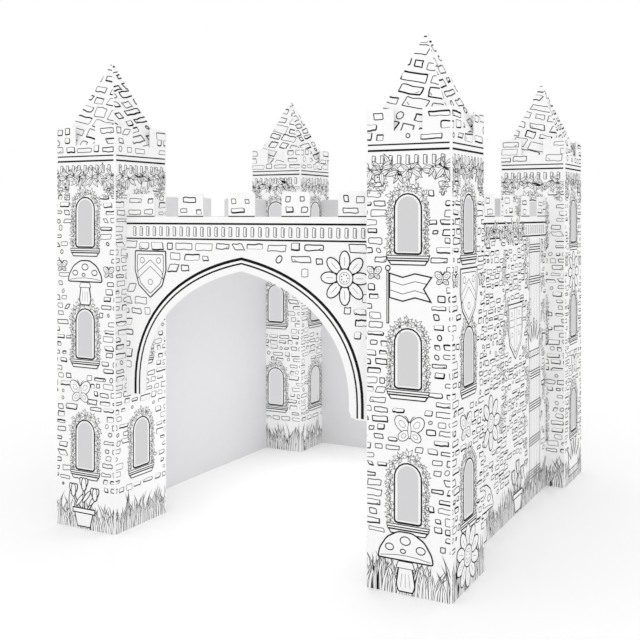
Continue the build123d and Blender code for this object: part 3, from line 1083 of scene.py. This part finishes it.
def print_wall(name, turn, distance, seed, hatch):
    """The print of one full wall, with its hatch at this x and the emblems to the left of it."""
    spots = [(hatch + across, up, size) for _, across, up, size in WALL_EMBLEMS]
    drawing = start_wall(seed)
    chance = drawing.chance
    for along, y, width, height, _ in scatter_stones(chance, 2 * wall_half, WALL_ROWS):
        x = along - wall_half
        y += chance.uniform(-4, 4)
        inside = abs(x - hatch) > HATCH_HALF + 8 + width / 2 and abs(x) + width / 2 < wall_half - 3
        if inside and chance.random() < WALL_STONE_SHARE and clear_of_emblems(x, y, spots):
            draw_stone(drawing, x, min(y, WALL_STONE_TOP - height / 2), width, height, SIDE_PENS)
    draw_hatch(drawing, hatch)
    for across, low, high in CREEPERS:
        draw_creeper(drawing, hatch + across, low, high)
    draw_garland(drawing, wall_half - 4, *WALL_GARLAND, 0.6 * wall_half, hatch - 95)
    draw_grass(drawing, wall_half, WALL_GRASS_HEIGHT)
    for draw_emblem, across, up, size in WALL_EMBLEMS + ((draw_crown, *WALL_CROWN),):
        draw_emblem(Emblem(drawing, hatch + across, up, size))
    drawing.trim((0, FOOT_MARGIN), (0, -1))
    finish_wall(name, drawing, distance, turn)


print_wall("wall_right", 90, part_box("wall_right")[1].x, 901, 250)
print_wall("wall_back", 180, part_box("wall_back")[1].y, 902, 120)
print_wall("wall_left", 270, -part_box("wall_left")[0].x, 903, 190)

# Floor and paper sweep
# A matt white studio floor that the castle stands on. It isn't part of the castle. The camera sees it pure
# white, so that it meets the white surround without a horizon, and it takes a soft shadow.
FLOOR_SIDE = 60
FLOOR_WHITE = (0.92, 0.92, 0.92, 1)
SEEN_WHITE = (1, 1, 1, 1)
FLOOR_ROUGHNESS = 0.9
floor_finish, floor_tree, floor_shader = new_finish("studio_floor", FLOOR_ROUGHNESS, 0.0)
seen = floor_tree.nodes.new("ShaderNodeLightPath").outputs
mirrored = math_node(floor_tree, "MAXIMUM", seen["Is Glossy Ray"], seen["Is Transmission Ray"])
looked_at = math_node(floor_tree, "MAXIMUM", seen["Is Camera Ray"], mirrored)
floor_colour = mix_colours(floor_tree, looked_at, FLOOR_WHITE, SEEN_WHITE)
floor_tree.links.new(floor_colour, floor_shader.inputs["Base Color"])
floor_sheet = bmesh.new()
bmesh.ops.create_grid(floor_sheet, x_segments=1, y_segments=1, size=FLOOR_SIDE / 2)
new_object("studio_floor", floor_sheet, [floor_finish])

# Glowing painted shade in the towers
# A grey tube stands free in each tower. It isn't part of the castle and is no lamp. It glows an even grey,
# painted shade of the tower's inside, so every window shows that grey and no daylight from the far side.
SHADE_TUBE_SIDE = 0.172
SHADE_TUBE_HEIGHT = 1.0
SHADE_TUBE_FOOT = 0.002
PAINTED_SHADE_GREY = (0.66, 0.66, 0.67, 1)
SHADE_TUBE_ROUGHNESS = 0.5
shade_tube_finish, _, shade_tube_shader = new_finish("glowing_painted_shade", SHADE_TUBE_ROUGHNESS, 0.0)
# The tube has no colour of its own and glows grey: painted shade, not a lamp.
shade_tube_shader.inputs["Base Color"].default_value = (0, 0, 0, 1)
shade_tube_shader.inputs["Emission Color"].default_value = PAINTED_SHADE_GREY
shade_tube_shader.inputs["Emission Strength"].default_value = 1.0
shade_tube = bmesh.new()
for corner in CORNERS:
    middle = foot_of("tower_" + corner)[0] + Vector((0, 0, SHADE_TUBE_HEIGHT / 2 + SHADE_TUBE_FOOT))
    place = Matrix.Translation(middle) @ Matrix.Diagonal((SHADE_TUBE_SIDE, SHADE_TUBE_SIDE, SHADE_TUBE_HEIGHT, 1))
    bmesh.ops.create_cube(shade_tube, size=1, matrix=place)
new_object("window_painted_shade", shade_tube, [shade_tube_finish])

# Studio light
# An even white surround, a broad soft lamp in front and a smaller one to the right, and three soft globes low
# in the courtyard, which fill the bare inside of the walls.
SURROUND_STRENGTH = 1.0
LAMP_TARGET = (0, 0, 0.6)
# Per softbox: its name, side, power and place
SOFTBOXES = (("front_softbox", 6.0, 18, (0.6, -9.0, 4.2)), ("side_softbox", 4.0, 40, (4.4, -5.6, 3.4)))
GLOBE_POWER = 1.0
GLOBE_RADIUS = 0.12
GLOBE_PLACES = ((0.0, -0.2, 0.3), (-0.12, 0.14, 0.3), (0.2, 0.04, 0.3))
world = bpy.data.worlds.new("studio")
world.use_nodes = True
surround = world.node_tree.nodes["Background"]
surround.inputs["Color"].default_value = (1, 1, 1, 1)
surround.inputs["Strength"].default_value = SURROUND_STRENGTH
bpy.context.scene.world = world
bpy.context.scene.view_settings.view_transform = "Standard"


def place_lamp(lamp, place):
    """Hangs a lamp at its place, turned to the middle of the castle and out of the camera's sight."""
    holder = bpy.data.objects.new(lamp.name, lamp)
    holder.location = place
    holder.rotation_euler = (Vector(LAMP_TARGET) - Vector(place)).to_track_quat("-Z", "Y").to_euler()
    holder.visible_camera = False
    bpy.context.collection.objects.link(holder)


for name, side, power, place in SOFTBOXES:
    softbox = bpy.data.lights.new(name, "AREA")
    softbox.size = side
    softbox.energy = power
    place_lamp(softbox, place)
globe = bpy.data.lights.new("courtyard_globe", "POINT")
globe.shadow_soft_size = GLOBE_RADIUS
globe.energy = GLOBE_POWER
for place in GLOBE_PLACES:
    place_lamp(globe, place)

# Camera
# It stands level with the wall tops, in front and to the right, as the picture was taken.
FOCAL_PIXELS = 917.6
IMAGE_PIXELS = 640
SHIFT_PIXELS = (45, 105.35)
SENSOR_WIDTH = 36
CAMERA_PLACE = (1.3088, -2.4330, 0.8433)
CAMERA_YAW = 26.904
FARTHEST_SEEN = 100
camera = bpy.data.cameras.new("camera")
camera.sensor_width = SENSOR_WIDTH
camera.lens = FOCAL_PIXELS * SENSOR_WIDTH / IMAGE_PIXELS
camera.shift_x = -SHIFT_PIXELS[0] / IMAGE_PIXELS
camera.shift_y = -SHIFT_PIXELS[1] / IMAGE_PIXELS
camera.clip_end = FARTHEST_SEEN
viewpoint = bpy.data.objects.new("camera", camera)
viewpoint.location = CAMERA_PLACE
viewpoint.rotation_euler = (math.radians(90), 0, math.radians(CAMERA_YAW))
bpy.context.collection.objects.link(viewpoint)
bpy.context.scene.camera = viewpoint
